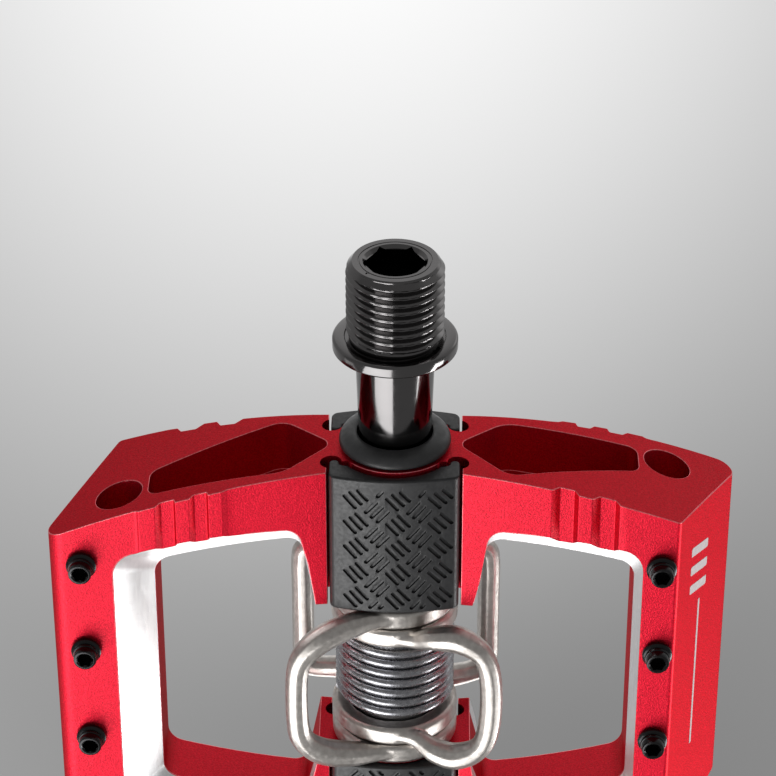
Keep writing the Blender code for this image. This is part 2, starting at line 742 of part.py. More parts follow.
def wings():
    """Arm points are (x, y, z, thickness), from the ring to the bar."""
    a_root = ((-1.5, 44.2, 8.4, 0.6), (3.0, 44.2, 8.8, 0.65), (7.0, 44.5, 10.0, 0.85))
    b_root = ((-1.5, 47.6, 8.4, 0.6), (3.0, 47.6, 8.8, 0.65), (6.8, 47.0, 10.5, 0.85))
    a_top = [*a_root, (11.0, 46.0, 11.3, 1.0), (13.8, 48.6, 12.0, 1.0)]
    b_top = [*b_root, (10.6, 46.4, 11.8, 1.0), (13.8, 48.8, 12.0, 1.0)]
    a_bottom = [*a_root, (11.0, 44.6, 11.3, 1.0), (13.9, 45.6, 12.0, 1.0), (14.5, 48.0, 12.0, 1.0)]
    b_bottom = [*b_root, (10.6, 45.2, 11.8, 1.0), (13.9, 45.6, 12.0, 1.0), (14.5, 48.0, 12.0, 1.0)]
    wing("wing_a", WING_A_RING_Y, a_top, a_bottom, 1.0)
    wing("wing_b", WING_B_RING_Y, b_top, b_bottom, -1.0)


def wing_spring():
    low, high = SPRING_Y
    per_turn = 8
    count = SPRING_TURNS * per_turn
    points = []
    for k in range(count + 1):
        turn = math.tau * k / per_turn
        y = low + (high - low) * k / count
        points.append((SPRING_R * math.cos(turn), y, SPRING_R * math.sin(turn), 1.0))
    return as_part(wire("wing_spring", points, SPRING_WIRE_R), "wing_spring", "spring_steel")


def build():
    pedal_body()
    spindle()
    lip_seal()
    small_rings()
    bearing_balls()
    lock_nut()
    end_cap()
    traction_pads()
    traction_pins()
    wings()
    wing_spring()


build()
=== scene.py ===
"""Fine surfaces, materials, light and camera for the platform clip pedal.

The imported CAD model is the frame. Its axes are +X forward, +Y outward along the spindle, away from the
crank, and +Z up, with the origin on the spindle axis at the flange. Shapes below are in millimetres, and
become metres where a mesh is made. Lights, the floor and its glows are in metres. The body repeats under a
half turn about the spindle, and its outboard half mirrors its inboard half about the middle plane.
"""

import json
import math

import bmesh
import bpy
from mathutils import Matrix, Vector


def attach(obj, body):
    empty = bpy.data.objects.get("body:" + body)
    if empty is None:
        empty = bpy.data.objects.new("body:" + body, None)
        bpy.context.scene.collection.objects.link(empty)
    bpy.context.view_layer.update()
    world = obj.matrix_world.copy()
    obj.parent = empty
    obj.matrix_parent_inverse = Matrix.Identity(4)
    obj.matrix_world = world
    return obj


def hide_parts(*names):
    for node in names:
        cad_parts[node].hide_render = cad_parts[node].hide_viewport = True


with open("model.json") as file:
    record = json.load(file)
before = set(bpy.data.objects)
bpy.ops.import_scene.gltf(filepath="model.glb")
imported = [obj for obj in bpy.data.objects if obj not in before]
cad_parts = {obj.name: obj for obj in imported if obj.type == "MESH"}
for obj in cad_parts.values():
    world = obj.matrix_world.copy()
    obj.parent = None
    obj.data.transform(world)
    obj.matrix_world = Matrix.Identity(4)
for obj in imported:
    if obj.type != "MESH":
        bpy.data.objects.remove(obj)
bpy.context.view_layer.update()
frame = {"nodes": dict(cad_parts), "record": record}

MM = 0.001
AROUND = 96  # sides of a large round piece
AROUND_PIN = 36

# Platform, as in the CAD part
MID_Y = 56.8
END_Y, END_BOW = 18.28, 0.00404
HALF_THICK, THICK_SLOPE, THICK_CURVE = 6.59, 0.149, 0.001321
ACUTE_X, OBTUSE_X, ACUTE_R, OBTUSE_R = 52.2, 41.7, 2.3, 0.8
RIBS_ACUTE = (
    *((24.3, 0.1), (25.0, 0.45), (27.0, 0.45), (27.3, -0.4), (29.1, -0.4), (29.8, 0.4)),
    *((31.8, 0.4), (32.1, -0.45), (34.0, -0.45), (34.8, 0.35), (37.2, 0.35), (37.5, 0.1)),
)
RIBS_OBTUSE = (
    *((22.9, 0.0), (24.1, -1.15), (26.2, -1.15), (26.8, 0.0)),
    *((28.8, 0.0), (30.0, -1.15), (32.2, -1.15), (32.8, -0.1)),
)
RIBS_X = (21.5, 38.5)
END_BAR, END_BAR_DEEP = 7.3, 13.1
WINDOW_X_WIDE, WINDOW_X_NARROW, WINDOW_X_DEEP = 41.3, 36.6, 35.7
DEEP_Z, WINDOW_FACE_Z, CHAMFER_REACH = 4.6, 10.4, 1.3
LEG_TOP_X, LEG_END_X = 14.1, 11.7
BOSS_LENGTH, HUB_R, BORE_R = 23.8, 8.45, 7.2
RECESS_X, RECESS_Z = 9.9, 5.0
NOTCH_X, NOTCH_Z, NOTCH_R, NOTCH_SPARED = 9.3, 5.0, 1.6, (6.0, 11.3)
POCKET_OUT, POCKET_IN, POCKET_FLOOR, POCKET_FLOOR_SLOPE = 36.1, 9.2, 24.5, 0.18
CORNER_HOLE_X, CORNER_HOLE_Z, CORNER_HOLE_R, CORNER_HOLE_FLOOR = 40.5, 4.7, 3.45, 30.5
WINDOW_BOW_X = (19.0, 22.0, 25.0, 28.0, 31.0)  # where the window's end edge follows the end face
WINDOW_DEEP_R, WINDOW_FAR_R, WINDOW_LEG_R = 3.0, 4.0, 2.2
POCKET_CORNERS = (
    (POCKET_OUT, 6.8, 1.6),
    (16.2, 6.8, 5.0),
    (POCKET_IN, 0.1, 1.8),
    (16.7, -7.1, 3.0),
    (POCKET_OUT, 0.7, 2.0),
)
EDGE, EDGE_ANGLE = 0.11, 18  # how far the platform's edges are broken, and from which angle on
EDGE_HIGHLIGHT_SLOT = 2  # the number of the broken edges' material, a paler red: partly lighter anodising, partly a painted highlight along each edge

# Pins
PIN_X_ACUTE, PIN_X_OBTUSE, PIN_Y = 45.9, 39.2, (33.2, 48.7, 64.9, 80.4)
PIN_HOLE_R, PIN_HOLE_DEEP = 1.8, 6.8
PIN_PROUD, PIN_TIP_R, PIN_COLLAR_R, PIN_LIFT, PIN_SHANK, PIN_SHANK_R = 3.0, 1.7, 2.25, 0.3, 6.4, 1.45
PIN_SOCKET_R, PIN_SOCKET, PIN_MOUTH = 1.25, 2.2, 0.22

# Pads
PAD_START, PAD_END = 18.8, 42.2
PAD_HALF_WIDTH, PAD_EDGE_Z, PAD_TOP_Z, PAD_EDGE_R = 9.55, 8.6, 10.0, 0.9
PAD_RAIL_X, PAD_RAIL_Z, PAD_RAIL_R, PAD_GAP = 8.0, 4.1, 0.75, 0.3
PAD_BEND_Z, PAD_BEND = 8.0, 1.2  # the crown bends what is above this, fully from this much higher on
PAD_STRIPS, PAD_RIM, SLOT_RIM = 28, 0.35, 0.07
SLOT_COLUMNS = (5.6, 2.5, -0.6, -3.65, -6.75)
SLOT_GROUP_PITCH, SLOT_LENGTH, SLOT_WIDTH, SLOT_DEEP = 4.4, 2.9, 0.56, 0.42
SLOT_LEAN = math.radians(49.5)
SLOT_STEP = 1.14  # from one slot of a group to the next, square to the slots
SLOT_FIRST_Y = 39.6  # the outermost group of the odd columns
SLOT_Y = (20.4, 41.55)  # the slots are cut short at these

# Spindle
THREAD_R, THREAD_ROOT_R, THREAD_PITCH, THREAD_END = 7.12, 6.4, 1.27, -12.4
THREAD_ROOT_FLAT, THREAD_FLANK = 0.14, 0.76  # shares of half a turn of the thread
FLANGE_R, FLANGE, RELIEF_R = 9.1, 2.0, 7.4
NECK_R, NECK_SEAL_R, JOURNAL_R, WAIST_R, BEARING_SEAT_R, STUD_R = 5.8, 5.35, 5.0, 4.2, 3.3, 2.7
HEX_FLATS, HEX_DEEP, SOCKET_MOUTH_R = 8.0, 8.5, 4.68
SLEEVE_Y, SLEEVE_R, SLEEVE_BORE = (21.6, 82.6), 6.95, 6.05
INNER_SEAL_Y, BEARING_Y, NUT_Y = 43.4, (83.2, 88.2), (89.0, 92.0)

# Clip wings
WING_RING_R, WING_RING_BORE, WING_WIRE_R = 9.6, 7.2, 1.75
WING_A_RING_Y, WING_B_RING_Y = (42.6, 45.8), (46.1, 49.2)
BAR_X, BAR_Z = 14.5, 12.0
WING_SKIN = 0.2  # the grain of the mesh that runs a wing's pieces together
SPRING_Y, SPRING_R, SPRING_WIRE_R, SPRING_TURNS = (50.4, 63.2), 8.35, 0.75, 7

# Marks on the sloping sides, as distances down the slope and along it
BAR_DOWN, BAR_WIDE, BAR_LEAN, BAR_FIRST_Y, BAR_PITCH, BARS = (5.2, 11.6), 1.6, 1.8, 33.0, 3.4, 3
STRIPE_DOWN, STRIPE_Y = (8.9, 9.5), (44.5, 72.0)
INK_THICK, INK_LIFT = 0.04, 0.01

# Stage, light and camera, in metres
FLOOR_Z, FLOOR_REACH, FLOOR_GLOW = -0.3, 4.0, 0.235
FLOOR_GLOWS = (  # soft pools of light and shade on the floor: place, squeeze, reach, strength
    ((0.0, 0.0, 0.0), (1.0, 1.0, 1.0), 3.5, 0.14),
    ((0.02, -0.02, 0.0), (1.0, 0.6, 1.0), 0.21, 0.68),
    ((-0.24, -0.14, 0.0), (1.0, 1.0, 1.0), 0.2, 0.75),
    ((-0.06, 0.34, 0.0), (0.7, 1.0, 1.0), 0.26, -0.22),
)
WORLD_STRENGTH = 0.25
LIGHTS = (  # name, place, width and height, watts
    ("key", (0.28, 0.33, 0.46), (0.5, 0.5), 2.1),
    ("side_right", (-0.68, 0.55, 0.06), (0.42, 0.3), 2.4),
    ("side_left", (0.68, 0.55, 0.0), (0.45, 0.3), 0.2),
    ("back", (0.0, 0.6, -0.2), (0.8, 0.2), 1.1),
)
LIGHT_AIM, LIGHT_SPREAD = (0.0, 0.03, 0.0), math.radians(140)
CAMERA_PLACE, CAMERA_LENS, CAMERA_SENSOR = (-0.00473, -0.2389, 0.39727), 149.36, 36.0
CAMERA_FORWARD = Vector((0.0123, 0.5294, -0.8483)).normalized()
CAMERA_UP = Vector((0.0077, -0.8484, -0.5293)).normalized()


# Mesh helpers


def end_face_y(x):
    return END_Y + END_BOW * x * x


def half_thick(x):
    x = abs(x)
    return HALF_THICK + THICK_SLOPE * x - THICK_CURVE * x * x


def add_mesh(name, mesh, matrix=None):
    ob = bpy.data.objects.new(name, mesh)
    ob.matrix_world = matrix or Matrix.Identity(4)
    bpy.context.scene.collection.objects.link(ob)
    return ob


def from_soup(name, soup):
    mesh = bpy.data.meshes.new(name)
    soup.to_mesh(mesh)
    soup.free()
    return add_mesh(name, mesh)


def baked(ob, weld=4e-6):
    """Replaces an object by a plain mesh of what it evaluates to, in the frame's own axes."""
    bpy.context.view_layer.update()
    shown = ob.evaluated_get(bpy.context.evaluated_depsgraph_get())
    mesh = bpy.data.meshes.new_from_object(shown)
    mesh.transform(ob.matrix_world)
    soup = bmesh.new()
    soup.from_mesh(mesh)
    if weld:
        bmesh.ops.remove_doubles(soup, verts=soup.verts, dist=weld)
    soup.to_mesh(mesh)
    soup.free()
    name = ob.name
    bpy.data.objects.remove(ob, do_unlink=True)
    made = add_mesh(name, mesh)
    made.name = name
    return made


def boolean(ob, tool, operation):
    """Joins, cuts or keeps the common part with a tool, whose materials go with its faces."""
    step = ob.modifiers.new(tool.name, "BOOLEAN")
    step.object = tool
    step.operation = operation
    step.solver = "EXACT"
    step.material_mode = "TRANSFER"
    ob = baked(ob)
    bpy.data.objects.remove(tool, do_unlink=True)
    return ob


def joined(name, pieces):
    soup = bmesh.new()
    for piece in pieces:
        soup.from_mesh(piece.data)
    made = from_soup(name, soup)
    for slot in pieces[0].data.materials:
        made.data.materials.append(slot)
    for piece in pieces:
        bpy.data.objects.remove(piece, do_unlink=True)
    return made


def cleaned(ob):
    """Merges the slivers and the flat splits that a cut leaves."""
    soup = bmesh.new()
    soup.from_mesh(ob.data)
    bmesh.ops.remove_doubles(soup, verts=soup.verts, dist=0.02 * MM)
    bmesh.ops.dissolve_degenerate(soup, edges=soup.edges, dist=0.01 * MM)
    bmesh.ops.dissolve_limit(soup, angle_limit=math.radians(0.5), verts=soup.verts, edges=soup.edges)
    soup.to_mesh(ob.data)
    soup.free()
    return ob


def bevelled(ob, width, segments):
    bevel = ob.modifiers.new("edges", "BEVEL")
    bevel.width = width * MM
    bevel.segments = segments
    bevel.use_clamp_overlap = False
    bevel.miter_outer = "MITER_ARC"
    return bevel


def edges_broken(ob, spared):
    """Breaks the platform's edges in a paler finish, partly lighter anodising and partly a painted
    highlight, but keeps them sharp where spared(x, y, z) says so.
    """
    soup = bmesh.new()
    soup.from_mesh(ob.data)
    weight = soup.edges.layers.float.new("bevel_weight_edge")
    for edge in soup.edges:
        middle = (edge.verts[0].co + edge.verts[1].co) / 2 / MM
        if len(edge.link_faces) == 2 and edge.calc_face_angle() > math.radians(EDGE_ANGLE):
            edge.smooth = not spared(*middle)
            edge[weight] = float(edge.smooth)
    for face in soup.faces:
        face.smooth = True
    soup.to_mesh(ob.data)
    soup.free()
    bevel = bevelled(ob, EDGE, 2)
    bevel.limit_method = "WEIGHT"
    bevel.material = EDGE_HIGHLIGHT_SLOT
    return baked(ob)


def softened(ob, width, segments, angle):
    """Breaks every edge sharper than an angle."""
    bevel = bevelled(ob, width, segments)
    bevel.limit_method = "ANGLE"
    bevel.angle_limit = math.radians(angle)
    ob.data.shade_smooth()
    return baked(ob)


def evenly_shaded(ob):
    """Keeps large flat faces flat in their shading, next to small sloping ones."""
    normals = ob.modifiers.new("normals", "WEIGHTED_NORMAL")
    normals.keep_sharp = True
    normals.weight = 80
    return ob


def smoothed(ob, angle=35):
    ob.data.shade_smooth()
    ob.data.set_sharp_from_angle(angle=math.radians(angle))
    return ob


def turned(name, profile, sides=AROUND, closed=False):
    """A turned solid about the spindle, of a (y, radius) profile from the outboard end inward."""
    mesh = bpy.data.meshes.new(name)
    points = [(r * MM, 0.0, y * MM) for y, r in profile]
    edges = [(i, i + 1) for i in range(len(points) - 1)]
    if closed:
        edges.append((len(points) - 1, 0))
    mesh.from_pydata(points, edges, [])
    ob = add_mesh(name, mesh, Matrix.Rotation(math.radians(-90), 4, "X"))
    spin = ob.modifiers.new("turn", "SCREW")
    spin.axis = "Z"
    spin.angle = math.tau
    spin.steps = sides
    spin.render_steps = sides
    spin.use_merge_vertices = True
    spin.merge_threshold = 0.000001
    return baked(ob)


def rounded(corners, steps=8):
    """An outline from (x, y, radius) corners. A corner with a radius becomes an arc."""
    out = []
    for i, (x, y, radius) in enumerate(corners):
        here = Vector((x, y))
        if not radius:
            out.append((x, y))
            continue
        before = Vector(corners[i - 1][:2]) - here
        after = Vector(corners[(i + 1) % len(corners)][:2]) - here
        half = before.angle(after) / 2
        inward = (before.normalized() + after.normalized()).normalized()
        middle = here + inward * radius / math.sin(half)
        first = here + before.normalized() * radius / math.tan(half) - middle
        last = here + after.normalized() * radius / math.tan(half) - middle
        turn = first.angle_signed(last)
        for k in range(steps + 1):
            spoke = first.copy()
            spoke.rotate(Matrix.Rotation(-turn * k / steps, 2))
            out.append(tuple(middle + spoke))
    return out


def prism(name, outline, length, matrix):
    """A flat outline extruded to both sides of its plane, by half its length each way."""
    soup = bmesh.new()
    low = [soup.verts.new((x * MM, y * MM, -length / 2 * MM)) for x, y in outline]
    high = [soup.verts.new((x * MM, y * MM, length / 2 * MM)) for x, y in outline]
    for i in range(len(outline)):
        j = (i + 1) % len(outline)
        soup.faces.new((low[i], low[j], high[j], high[i]))
    soup.faces.new(low)
    soup.faces.new(high)
    bmesh.ops.recalc_face_normals(soup, faces=soup.faces)
    soup.transform(matrix)
    return from_soup(name, soup)


def along_y(name, outline, y_low, y_high):
    """A prism whose (x, z) outline runs from y_low to y_high."""
    place = Matrix.Translation((0.0, (y_low + y_high) / 2 * MM, 0.0))
    return prism(name, outline, y_high - y_low, place @ Matrix.Rotation(math.radians(90), 4, "X"))


def round_outline(x, y, radius, sides):
    turns = [math.tau * k / sides for k in range(sides)]
    return [(x + radius * math.cos(turn), y + radius * math.sin(turn)) for turn in turns]


def rod(name, centre, radius, y_low, y_high, sides=AROUND):
    return along_y(name, round_outline(*centre, radius, sides), y_low, y_high)


def upright(name, outline, z_low, z_high):
    place = Matrix.Translation((0.0, 0.0, (z_low + z_high) / 2 * MM))
    return prism(name, outline, z_high - z_low, place)


def lofted(name, sections, strip_material=None):
    """A closed solid through sections of points. strip_material gives each strip's material number."""
    soup = bmesh.new()
    rows = [[soup.verts.new([c * MM for c in point]) for point in section] for section in sections]
    count = len(rows[0])
    for strip, (low, high) in enumerate(zip(rows, rows[1:], strict=False)):
        for i in range(count):
            j = (i + 1) % count
            face = soup.faces.new((low[i], low[j], high[j], high[i]))
            face.material_index = strip_material[strip] if strip_material else 0
    soup.faces.new(rows[0])
    soup.faces.new(rows[-1])
    bmesh.ops.recalc_face_normals(soup, faces=soup.faces)
    return from_soup(name, soup)


def moved_copy(ob, matrix, suffix):
    mesh = ob.data.copy()
    mesh.transform(matrix)
    if matrix.is_negative:
        mesh.flip_normals()
    return add_mesh(ob.name + suffix, mesh)


def half_turned(ob):
    return moved_copy(ob, Matrix.Rotation(math.pi, 4, "Y"), "_turned")


def mirrored(ob):
    place = Matrix.Translation((0.0, MID_Y * MM, 0.0))
    return moved_copy(ob, place @ Matrix.Scale(-1.0, 4, (0.0, 1.0, 0.0)) @ place.inverted(), "_outboard")


def four_ways(name, ob):
    turned_copy = half_turned(ob)
    return joined(name, [ob, turned_copy, mirrored(ob), mirrored(turned_copy)])


def fitted(ob, body, slot_name, *nodes):
    """Hangs a piece on its CAD body, in the place of those nodes."""
    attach(ob, body)
    if nodes:
        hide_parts(*nodes)
    return ob


# Materials


class Finish:
    """A Principled material, built up in short steps."""

    def __init__(self, name, colour, roughness, metallic, **sockets):
        self.material = bpy.data.materials.new(name)
        self.material.use_nodes = True
        self.tree = self.material.node_tree
        self.shader = self.tree.nodes["Principled BSDF"]
        self.colour, self.roughness = colour, roughness
        self.set("Base Color", (*colour, 1.0))
        self.set("Roughness", roughness)
        self.set("Metallic", metallic)
        for socket, value in sockets.items():
            self.set(socket.replace("_", " "), value)
        self.coordinates = self.tree.nodes.new("ShaderNodeTexCoord").outputs["Object"]
        self.height = None

    def set(self, socket, value):
        self.shader.inputs[socket].default_value = value

    def link(self, source, target):
        self.tree.links.new(source, target)

    def noise(self, grain, detail=2.0, stretch=(1.0, 1.0, 1.0)):
        """Noise whose features are about grain millimetres across."""
        place = self.tree.nodes.new("ShaderNodeMapping")
        place.inputs["Scale"].default_value = stretch
        self.link(self.coordinates, place.inputs["Vector"])
        made = self.tree.nodes.new("ShaderNodeTexNoise")
        made.inputs["Scale"].default_value = 1.0 / (grain * MM)
        made.inputs["Detail"].default_value = detail
        self.link(place.outputs["Vector"], made.inputs["Vector"])
        return made.outputs["Fac"]

    def spread(self, source, low, high):
        """Maps the middle of a noise, where most of it lies, to the range from low to high."""
        made = self.tree.nodes.new("ShaderNodeMapRange")
        made.inputs["From Min"].default_value = 0.35
        made.inputs["From Max"].default_value = 0.65
        made.inputs["To Min"].default_value = low
        made.inputs["To Max"].default_value = high
        self.link(source, made.inputs["Value"])
        return made.outputs["Result"]

    def pool(self, place, squeeze, reach, strength):
        """A soft round patch of a value, strongest at its place and 0 beyond its reach."""
        shift = self.tree.nodes.new("ShaderNodeMapping")
        shift.inputs["Location"].default_value = [-p * s for p, s in zip(place, squeeze, strict=True)]
        shift.inputs["Scale"].default_value = squeeze
        self.link(self.coordinates, shift.inputs["Vector"])
        away = self.tree.nodes.new("ShaderNodeVectorMath")
        away.operation = "LENGTH"
        self.link(shift.outputs["Vector"], away.inputs[0])
        fade = self.tree.nodes.new("ShaderNodeMapRange")
        fade.interpolation_type = "SMOOTHSTEP"
        fade.inputs["From Max"].default_value = reach
        fade.inputs["To Min"].default_value = strength
        fade.inputs["To Max"].default_value = 0.0
        self.link(away.outputs["Value"], fade.inputs["Value"])
        return fade.outputs["Result"]

    def vary_roughness(self, grain, amount, **how):
        grains = self.noise(grain, **how)
        low, high = self.roughness - amount, self.roughness + amount
        self.link(self.spread(grains, low, high), self.shader.inputs["Roughness"])
        return self

    def vary_colour(self, grain, other, share=1.0, **how):
        mix = self.tree.nodes.new("ShaderNodeMix")
        mix.data_type = "RGBA"
        mix.inputs["A"].default_value = (*self.colour, 1.0)
        mix.inputs["B"].default_value = (*other, 1.0)
        self.link(self.spread(self.noise(grain, **how), 0.0, share), mix.inputs["Factor"])
        self.link(mix.outputs["Result"], self.shader.inputs["Base Color"])
        return self

    def bump(self, grain, depth, **how):
        """A bump from noise, depth millimetres deep. Several may follow each other."""
        made = self.tree.nodes.new("ShaderNodeBump")
        made.inputs["Distance"].default_value = depth * MM
        self.link(self.noise(grain, **how), made.inputs["Height"])
        if self.height:
            self.link(self.height, made.inputs["Normal"])
        self.height = made.outputs["Normal"]
        self.link(self.height, self.shader.inputs["Normal"])
        return self


def make_finishes():
    red = Finish("anodised_red", (0.62, 0.007, 0.028), 0.54, 1.0, Specular_Tint=(0.4, 0.07, 0.09, 1.0))
    red.set("Coat Weight", 0.25)
    red.set("Coat Roughness", 0.4)
    red.vary_colour(0.26, (0.8, 0.014, 0.042), 0.9, detail=1.0)
    red.vary_roughness(0.3, 0.05).bump(0.22, 0.08, detail=1.0)
    # Paler red for the broken edges: partly the lighter anodised edge, partly a painted highlight along
    # each edge.
    edge = Finish("anodised_edge_painted_highlight", (0.9, 0.12, 0.15), 0.38, 0.9)
    edge.vary_colour(0.25, (1.0, 0.34, 0.36), 0.9).vary_roughness(0.3, 0.05).bump(0.16, 0.006)
    facet = Finish("machined_facet", (0.97, 0.97, 0.97), 0.4, 0.8)
    facet.vary_colour(0.5, (0.89, 0.89, 0.9), 0.7, stretch=(1.0, 0.12, 1.0)).vary_roughness(0.6, 0.05)
    facet.bump(2.5, 0.003, detail=0.0)
    plastic = Finish("pad_plastic", (0.017, 0.017, 0.018), 0.42, 0.0)
    plastic.vary_colour(0.8, (0.026, 0.026, 0.027)).vary_roughness(0.5, 0.07).bump(0.12, 0.012)
    rubber = Finish("seal_rubber", (0.032, 0.032, 0.033), 0.4, 0.0)
    rubber.vary_colour(1.5, (0.042, 0.042, 0.043)).vary_roughness(0.8, 0.08).bump(0.25, 0.01)
    chrome = Finish("black_chrome", (0.145, 0.14, 0.14), 0.13, 1.0)
    chrome.vary_roughness(2.5, 0.03).bump(3.0, 0.002)
    oxide = Finish("black_oxide", (0.03, 0.03, 0.031), 0.24, 0.9)
    oxide.vary_roughness(0.6, 0.07).bump(0.3, 0.006)
    wing = Finish("cast_stainless", (0.62, 0.585, 0.55), 0.4, 1.0)
    wing.vary_colour(0.9, (0.48, 0.45, 0.42), 0.8, detail=4.0)
    wing.vary_roughness(0.5, 0.07, detail=3.0).bump(0.25, 0.008, detail=2.0).bump(1.6, 0.02)
    steel = Finish("ground_steel", (0.6, 0.6, 0.62), 0.24, 1.0)
    steel.vary_colour(1.2, (0.5, 0.5, 0.52)).vary_roughness(0.15, 0.06, stretch=(1.0, 12.0, 1.0))
    steel.bump(0.25, 0.002)
    spring = Finish("spring_wire", (0.42, 0.42, 0.44), 0.3, 1.0)
    spring.vary_colour(0.9, (0.3, 0.3, 0.32)).vary_roughness(0.3, 0.07).bump(0.2, 0.004)
    bronze = Finish("sintered_bronze", (0.5, 0.3, 0.12), 0.42, 1.0)
    bronze.vary_colour(0.3, (0.34, 0.2, 0.08)).vary_roughness(0.3, 0.08).bump(0.18, 0.01)
    ink = Finish("pale_ink", (0.8, 0.72, 0.72), 0.5, 0.0)
    ink.vary_colour(0.7, (0.7, 0.62, 0.62), 0.7).vary_roughness(0.4, 0.08).bump(0.2, 0.004)
    made = (red, edge, facet, plastic, rubber, chrome, oxide, wing, steel, spring, bronze, ink)
    return {finish.material.name: finish.material for finish in made}


FINISHES = make_finishes()
NODE_FINISH = {
    "body_red": "anodised_red",
    "pad_black": "pad_plastic",
    "rubber_black": "seal_rubber",
    "spindle_black": "black_chrome",
    "pin_black": "black_oxide",
    "wing_steel": "cast_stainless",
    "bearing_steel": "ground_steel",
    "spring_steel": "spring_wire",
    "bushing_bronze": "sintered_bronze",
    "cap_black": "black_oxide",
}


def paint_cad_nodes():
    """Gives every CAD node the fine material of its slot."""
    for part in frame["record"]["subparts"]:
        node = frame["nodes"][part["node"]]
        node.data.materials.clear()
        node.data.materials.append(FINISHES[NODE_FINISH[part["material_slot"]]])


def paint(ob, *names):
    """Gives a piece its materials, and keeps each face's number among them."""
    numbers = [face.material_index for face in ob.data.polygons]
    ob.data.materials.clear()
    for name in names:
        ob.data.materials.append(FINISHES[name])
    ob.data.polygons.foreach_set("material_index", numbers)
    return ob


# Platform


def body_outline():
    """The (x, z) outline of the body: two concave, ribbed faces and two sloping sides."""
    ribbed = [(-x, rise) for x, rise in RIBS_OBTUSE] + list(RIBS_ACUTE)
    smooth = [*range(-40, -33), *range(-22, 24), *range(38, 49)]
    plain = [(float(x), 0.0) for x in smooth]
    face = [(x, half_thick(x) + rise, 0) for x, rise in sorted(plain + ribbed)]
    upper = [(-OBTUSE_X, half_thick(OBTUSE_X), OBTUSE_R), *face, (ACUTE_X, half_thick(ACUTE_X), ACUTE_R)]
    return rounded(upper + [(-x, -z, r) for x, z, r in upper])


def plan_outline():
    """The (x, y) outline of the body, wider than its sides: two bowed ends."""
    steps = 44
    reach = ACUTE_X + 2
    places = [reach * (2 * k / steps - 1) for k in range(steps + 1)]
    return [(x, end_face_y(x)) for x in places] + [(-x, 2 * MID_Y - end_face_y(x)) for x in places]


def window_outline(far_x, end_bar, far_r):
    """The leading window's (x, y) outline, from the leg's end round to the other leg's end."""
    corners = [(LEG_TOP_X, WINDOW_LEG_R), *((x, 0) for x in WINDOW_BOW_X), (far_x, far_r)]
    near = [(LEG_END_X, END_Y + BOSS_LENGTH, 0)]
    near += [(x, end_face_y(x) + end_bar, radius) for x, radius in corners]
    return rounded(near + [(x, 2 * MID_Y - y, r) for x, y, r in reversed(near)])


def window_cutter(name):
    """The leading window: straight in the middle, opening to both faces by a bright chamfer."""
    deep = window_outline(WINDOW_X_DEEP, END_BAR_DEEP, WINDOW_DEEP_R)
    wide = window_outline(WINDOW_X_WIDE, END_BAR, WINDOW_FAR_R)
    narrow = window_outline(WINDOW_X_NARROW, END_BAR, WINDOW_FAR_R)
    far_z = DEEP_Z + (WINDOW_FACE_Z - DEEP_Z) * CHAMFER_REACH
    outer = []
    for outline, z in ((narrow, -far_z), (wide, far_z)):
        section = []
        for (x, y), (dx, dy) in zip(outline, deep, strict=True):
            section.append((dx + (x - dx) * CHAMFER_REACH, dy + (y - dy) * CHAMFER_REACH, z))
        outer.append(section)
    low = [(x, y, -DEEP_Z) for x, y in deep]
    high = [(x, y, DEEP_Z) for x, y in deep]
    cutter = lofted(name, [outer[0], low, high, outer[1]], (1, 0, 1))
    return paint(cutter, "anodised_red", "machined_facet")


def pocket_cutter(name):
    outline = rounded(POCKET_CORNERS, 12)
    mouth = [(x, END_Y - 3.0, z) for x, z in outline]
    floor = [(x, POCKET_FLOOR + POCKET_FLOOR_SLOPE * x, z) for x, z in outline]
    return lofted(name, [mouth, floor])


def pin_places():
    """(name, x, y, up) for the sixteen pins."""
    places = []
    for face, up in (("top", 1.0), ("bottom", -1.0)):
        for x in (up * PIN_X_ACUTE, -up * PIN_X_OBTUSE):
            edge = "leading" if x > 0 else "trailing"
            for k, y in enumerate(PIN_Y):
                places.append((f"pin_{face}_{edge}_{k + 1}", x, y, up))
    return places


def pin_hole_cutter():
    holes = []
    for name, x, y, up in pin_places():
        ends = sorted((up * (half_thick(x) - PIN_HOLE_DEEP), up * (half_thick(x) + 2.0)))
        holes.append(upright(name + "_hole", round_outline(x, y, PIN_HOLE_R, 32), *ends))
    return joined("pin_holes", holes)


def box_outline(x_low, x_high, y_low, y_high):
    return [(x_low, y_low), (x_high, y_low), (x_high, y_high), (x_low, y_high)]


def by_a_notch(x, y, z):
    """Where the small notches beside the pads leave no room for a broken edge."""
    near_x = NOTCH_SPARED[0] < abs(x) < NOTCH_SPARED[1]
    return near_x and abs(abs(z) - NOTCH_Z) < NOTCH_R + 0.6


def on_the_ribs(x, y, z):
    """The grip ribs of both faces, without their edge to the end face."""
    from_end = min(y, 2 * MID_Y - y) - end_face_y(x)
    near_x = RIBS_X[0] < abs(x) < RIBS_X[1]
    return near_x and from_end > 0.3 and abs(z) > half_thick(x) - 1.7


def platform_blank():
    """The body without its windows and holes: recessed for the pads, with the hub and the bowed ends."""
    far_y = 2 * MID_Y
    ob = along_y("platform", body_outline(), END_Y - 6.0, far_y - END_Y + 6.0)
    recess = along_y("recess", box_outline(-RECESS_X, RECESS_X, RECESS_Z, 20.0), -10.0, far_y + 10.0)
    ob = boolean(ob, joined("recesses", [half_turned(recess), recess]), "DIFFERENCE")
    ob = boolean(ob, rod("boss", (0.0, 0.0), HUB_R, END_Y - 5.0, far_y - END_Y + 5.0), "UNION")
    notches = []
    for x in (-NOTCH_X, NOTCH_X):
        for z in (-NOTCH_Z, NOTCH_Z):
            notches.append(rod("notch", (x, z), NOTCH_R, END_Y - 4.0, far_y - END_Y + 4.0, 32))
    ob = boolean(ob, joined("notches", notches), "DIFFERENCE")
    ob = boolean(ob, prism("plan", plan_outline(), 40.0, Matrix.Identity(4)), "INTERSECT")
    return paint(ob, "anodised_red", "machined_facet")


